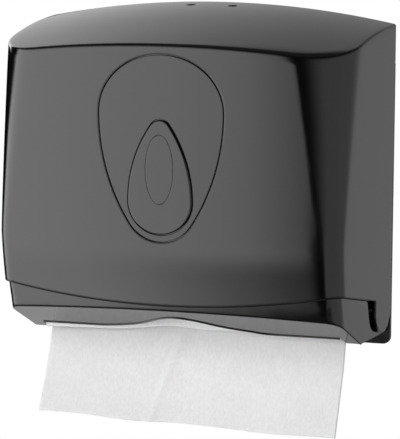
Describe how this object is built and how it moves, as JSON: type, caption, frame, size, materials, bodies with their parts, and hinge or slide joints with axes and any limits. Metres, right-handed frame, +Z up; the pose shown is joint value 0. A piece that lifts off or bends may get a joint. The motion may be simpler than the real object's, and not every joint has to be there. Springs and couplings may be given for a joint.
{
  "type": "paper towel dispenser",
  "caption": "Wall-mounted dispenser for folded paper hand towels: hinged glossy cover on a sprung latch, drop-shaped front panel, and a tray with a finger notch.",
  "frame": {"origin": "centre of the four wall screw holes, on the back plate's rear face", "axes": "+X to the right as a user sees it, +Y into the wall, +Z up; millimetre-true at scale 1"},
  "size_m": [0.29, 0.1383, 0.3199],
  "materials": {
    "cover_plastic": "glossy",
    "panel_plastic": "glossy smoked",
    "inlay_plastic": "glossy",
    "tray_plastic": "glossy",
    "plate_plastic": "satin",
    "inner_plastic": "satin",
    "latch_plastic": "satin",
    "pin_steel": "turned",
    "screw_steel": "zinc plated",
    "spring_steel": "plain",
    "paper": "embossed crepe"
  },
  "bodies": {
    "wall_unit": {"towel_tray": "tray_plastic", "tray_screws": "screw_steel", "back_plate": "plate_plastic", "hinge_pin_right": "pin_steel", "hinge_pin_left": "pin_steel", "pin_clip_right": "spring_steel", "pin_clip_left": "spring_steel", "latch_housing": "inner_plastic", "housing_screws": "screw_steel", "latch_spring_right": "spring_steel", "latch_spring_left": "spring_steel", "paper_guide_right": "inner_plastic", "paper_guide_left": "inner_plastic", "guide_screws_right": "screw_steel", "guide_screws_left": "screw_steel", "towel_stack": "paper", "next_towel": "paper", "hanging_towel": "paper"},
    "cover": {"front_cover": "cover_plastic", "window_panel": "panel_plastic", "drop_inlay": "inlay_plastic", "inlay_push_nuts": "spring_steel", "window_retainer": "inner_plastic", "retainer_screws": "screw_steel"},
    "latch": {"latch_bar": "latch_plastic"}
  },
  "joints": [
    {"name": "cover_hinge", "type": "hinge", "parent": "wall_unit", "child": "cover", "pos_m": [0, -0.021, -0.1075], "axis": [1, 0, 0], "range_deg": [0, 105]},
    {"name": "latch_press", "type": "slide", "parent": "wall_unit", "child": "latch", "axis": [0, 0, -1], "range_m": [0, 0.005], "stiffness_N_per_m": 400, "springref_m": -0.003, "deforming": ["latch_spring_right", "latch_spring_left"]}
  ]
}
